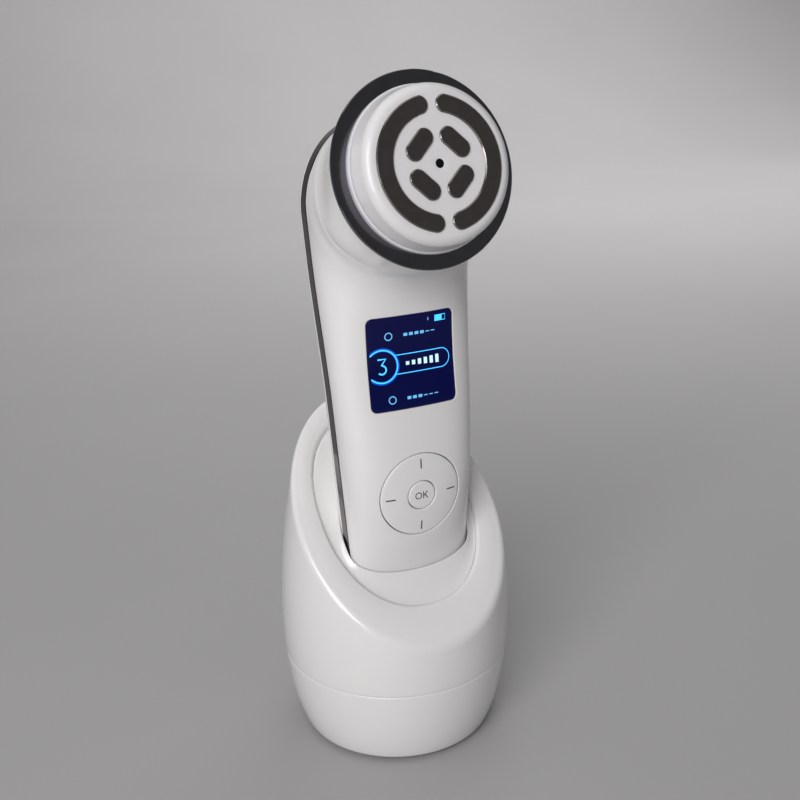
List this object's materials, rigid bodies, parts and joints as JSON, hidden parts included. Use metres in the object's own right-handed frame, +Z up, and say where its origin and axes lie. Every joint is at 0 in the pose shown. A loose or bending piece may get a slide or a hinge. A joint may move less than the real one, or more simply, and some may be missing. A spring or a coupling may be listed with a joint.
{
  "type": "facial toning device with charging dock",
  "caption": "Handheld facial toning device with an electrode head, a screen and a navigation pad, leaning in its upright charging dock.",
  "frame": {"origin": "centre of the dock's foot pad on the table", "axes": "+Z up, -Y towards the user, the mirror plane is X = 0"},
  "size_m": [0.0718, 0.076, 0.2042],
  "materials": {
    "gloss_white": "high gloss moulded",
    "satin_white": "satin moulded",
    "light_diffuser": "translucent diffuser",
    "dark_chrome": "dark mirror plating",
    "smoked_trim": "smoked mirror plating",
    "electrode_metal": "polished",
    "sensor_black": "polished",
    "display_glass": "polished",
    "display_panel": "lit screen",
    "circuit_board": "solder mask",
    "contact_gold": "gold plated",
    "spring_steel": "stamped",
    "screw_steel": "plated",
    "ballast_steel": "plain",
    "frame_grey": "moulded",
    "battery_wrap": "shrink sleeve",
    "dark_parts": "moulded",
    "foot_silicone": "matt"
  },
  "bodies": {
    "dock": {"dock_upper": "gloss_white", "dock_lower": "gloss_white", "cradle_insert": "gloss_white", "base_plate": "frame_grey", "foot_pad": "foot_silicone", "ballast_weight": "ballast_steel", "dock_board": "circuit_board", "usb_socket": "screw_steel", "pin_block": "dark_parts", "pin_springs": "spring_steel", "dock_screws": "screw_steel"},
    "charging_pins": {"contact_pins": "contact_gold"},
    "handset": {"front_shell": "gloss_white", "rear_shell": "gloss_white", "side_trim": "smoked_trim", "head_ring": "dark_chrome", "light_ring": "light_diffuser", "head_cap": "satin_white", "arc_electrodes": "electrode_metal", "pad_electrodes": "electrode_metal", "sensor_lens": "sensor_black", "head_board": "circuit_board", "contact_springs": "contact_gold", "display_lens": "display_glass", "display_module": "display_panel", "main_board": "circuit_board", "dome_switches": "spring_steel", "board_screws": "screw_steel", "inner_frame": "frame_grey", "battery": "battery_wrap", "output_transformer": "dark_parts", "buzzer": "dark_parts", "charging_pads": "contact_gold"},
    "nav_collar": {"nav_collar": "frame_grey"},
    "nav_ring": {"nav_ring": "gloss_white"},
    "ok_button": {"ok_button": "gloss_white"}
  },
  "joints": [
    {"name": "handset_lift", "type": "slide", "parent": "dock", "child": "handset", "axis": [0, 0.0698, 0.9976], "range_m": [0, 0.09]},
    {"name": "pins_press", "type": "slide", "parent": "dock", "child": "charging_pins", "axis": [0, -0.0698, -0.9976], "range_m": [0, 0.0012], "stiffness_N_per_m": 400, "springref_m": -0.0005, "deforming": ["pin_springs"]},
    {"name": "nav_tilt_up_down", "type": "hinge", "parent": "handset", "child": "nav_collar", "pos_m": [0, -0.021, 0.08426], "axis": [1, 0, 0], "range_deg": [-1.5, 1.5], "stiffness_Nm_per_rad": 0.35},
    {"name": "nav_tilt_side", "type": "hinge", "parent": "nav_collar", "child": "nav_ring", "pos_m": [0, -0.021, 0.08426], "axis": [0, 0.0035, 1], "range_deg": [-1.5, 1.5], "stiffness_Nm_per_rad": 0.35},
    {"name": "ok_press", "type": "slide", "parent": "handset", "child": "ok_button", "axis": [0, 1, -0.0035], "range_m": [0, 0.0004], "stiffness_N_per_m": 1200, "springref_m": -0.0001}
  ]
}
